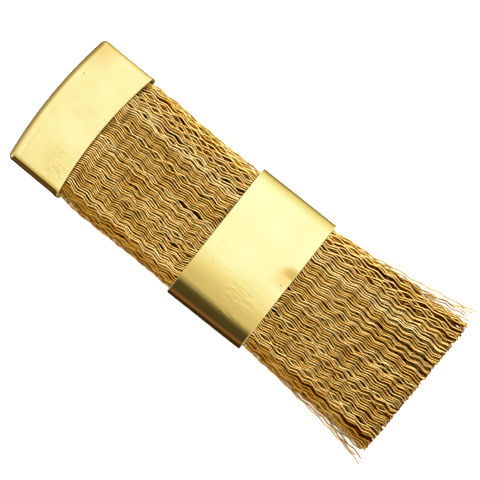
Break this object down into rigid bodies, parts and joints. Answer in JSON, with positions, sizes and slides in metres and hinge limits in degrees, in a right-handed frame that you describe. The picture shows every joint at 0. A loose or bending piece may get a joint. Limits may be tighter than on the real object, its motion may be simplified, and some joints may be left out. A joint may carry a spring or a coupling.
{
  "type": "wire brush",
  "caption": "Flat brass wire brush for cleaning tips: crimped wires held in a pressed end cap, with a flat band that slides along the bundle to set its free length and stiffness.",
  "frame": {"origin": "middle of the underside of the brush lying flat, where the cap and the band rest on the bench", "axes": "+X from the closed end of the cap towards the free wire tips, +Y across the broad face, +Z out of the upper broad face"},
  "size_m": [0.0538, 0.018, 0.005],
  "materials": {
    "polished_brass_cap": "polished",
    "polished_brass_band": "polished",
    "brass_wire": "bright drawn",
    "root_adhesive": "set adhesive"
  },
  "bodies": {
    "brush": {"end_cap": "polished_brass_cap", "root_bond": "root_adhesive", "wires_bottom_01": "brass_wire", "wires_bottom_02": "brass_wire", "wires_bottom_03": "brass_wire", "wires_bottom_04": "brass_wire", "wires_bottom_05": "brass_wire", "wires_bottom_06": "brass_wire", "wires_bottom_07": "brass_wire", "wires_bottom_08": "brass_wire", "wires_bottom_09": "brass_wire", "wires_bottom_10": "brass_wire", "wires_bottom_11": "brass_wire", "wires_bottom_12": "brass_wire", "wires_bottom_13": "brass_wire", "wires_bottom_14": "brass_wire", "wires_bottom_15": "brass_wire", "wires_bottom_16": "brass_wire", "wires_middle_01": "brass_wire", "wires_middle_02": "brass_wire", "wires_middle_03": "brass_wire", "wires_middle_04": "brass_wire", "wires_middle_05": "brass_wire", "wires_middle_06": "brass_wire", "wires_middle_07": "brass_wire", "wires_middle_08": "brass_wire", "wires_middle_09": "brass_wire", "wires_middle_10": "brass_wire", "wires_middle_11": "brass_wire", "wires_middle_12": "brass_wire", "wires_middle_13": "brass_wire", "wires_middle_14": "brass_wire", "wires_middle_15": "brass_wire", "wires_middle_16": "brass_wire", "wires_top_01": "brass_wire", "wires_top_02": "brass_wire", "wires_top_03": "brass_wire", "wires_top_04": "brass_wire", "wires_top_05": "brass_wire", "wires_top_06": "brass_wire", "wires_top_07": "brass_wire", "wires_top_08": "brass_wire", "wires_top_09": "brass_wire", "wires_top_10": "brass_wire", "wires_top_11": "brass_wire", "wires_top_12": "brass_wire", "wires_top_13": "brass_wire", "wires_top_14": "brass_wire", "wires_top_15": "brass_wire", "wires_top_16": "brass_wire"},
    "band": {"sliding_band": "polished_brass_band"}
  },
  "joints": [
    {"name": "band_slide", "type": "slide", "parent": "brush", "child": "band", "axis": [1, 0, 0], "range_m": [-0.016, 0.0188]}
  ]
}
